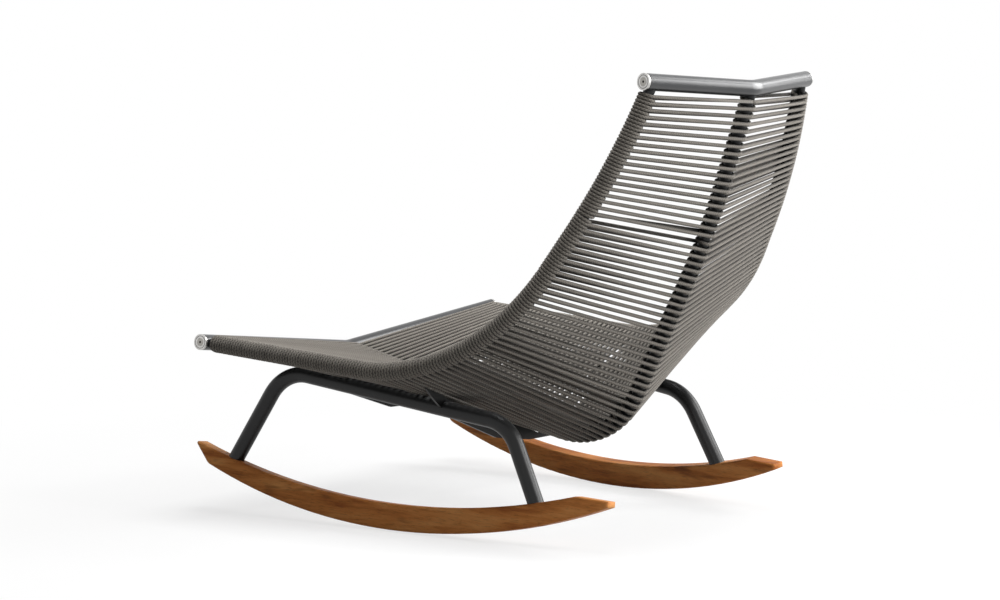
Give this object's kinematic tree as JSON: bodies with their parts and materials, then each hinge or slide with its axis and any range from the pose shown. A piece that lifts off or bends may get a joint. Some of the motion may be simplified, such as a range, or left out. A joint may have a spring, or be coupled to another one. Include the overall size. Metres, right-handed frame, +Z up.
{
  "type": "outdoor rocking chair",
  "caption": "Low outdoor rocking lounge chair: a V-shaped cord-strung seat and back on bent tube leg frames over curved wooden rockers.",
  "frame": {"origin": "on the floor, under the middle of the chair's box", "axes": "+X towards the sitter's left, +Y towards the back of the chair, +Z up; the sitter faces -Y"},
  "size_m": [0.9016, 1.0202, 0.8407],
  "materials": {
    "frame_paint": "satin anthracite powder coat",
    "cap_steel": "satin",
    "fastener_steel": "satin",
    "insert_plastic": "matt",
    "teak": "oiled teak",
    "cord": "matt round cord"
  },
  "bodies": {
    "root": {"front_rail": "frame_paint", "top_rail": "frame_paint", "side_rail_left": "frame_paint", "side_rail_right": "frame_paint", "keel_tube": "frame_paint", "leg_frame_left": "frame_paint", "leg_frame_right": "frame_paint", "rib_front": "frame_paint", "rib_rear": "frame_paint", "front_cap_left": "cap_steel", "front_cap_right": "cap_steel", "top_cap_left": "cap_steel", "top_cap_right": "cap_steel", "cap_screws": "fastener_steel", "rocker_bolts": "fastener_steel", "bolt_washers": "fastener_steel", "cap_inserts": "insert_plastic", "foot_inserts": "insert_plastic", "rocker_left": "teak", "rocker_right": "teak", "cord_left_1": "cord", "cord_left_2": "cord", "cord_left_3": "cord", "cord_left_4": "cord", "cord_left_5": "cord", "cord_left_6": "cord", "cord_left_7": "cord", "cord_left_8": "cord", "cord_right_1": "cord", "cord_right_2": "cord", "cord_right_3": "cord", "cord_right_4": "cord", "cord_right_5": "cord", "cord_right_6": "cord", "cord_right_7": "cord", "cord_right_8": "cord"}
  },
  "joints": []
}
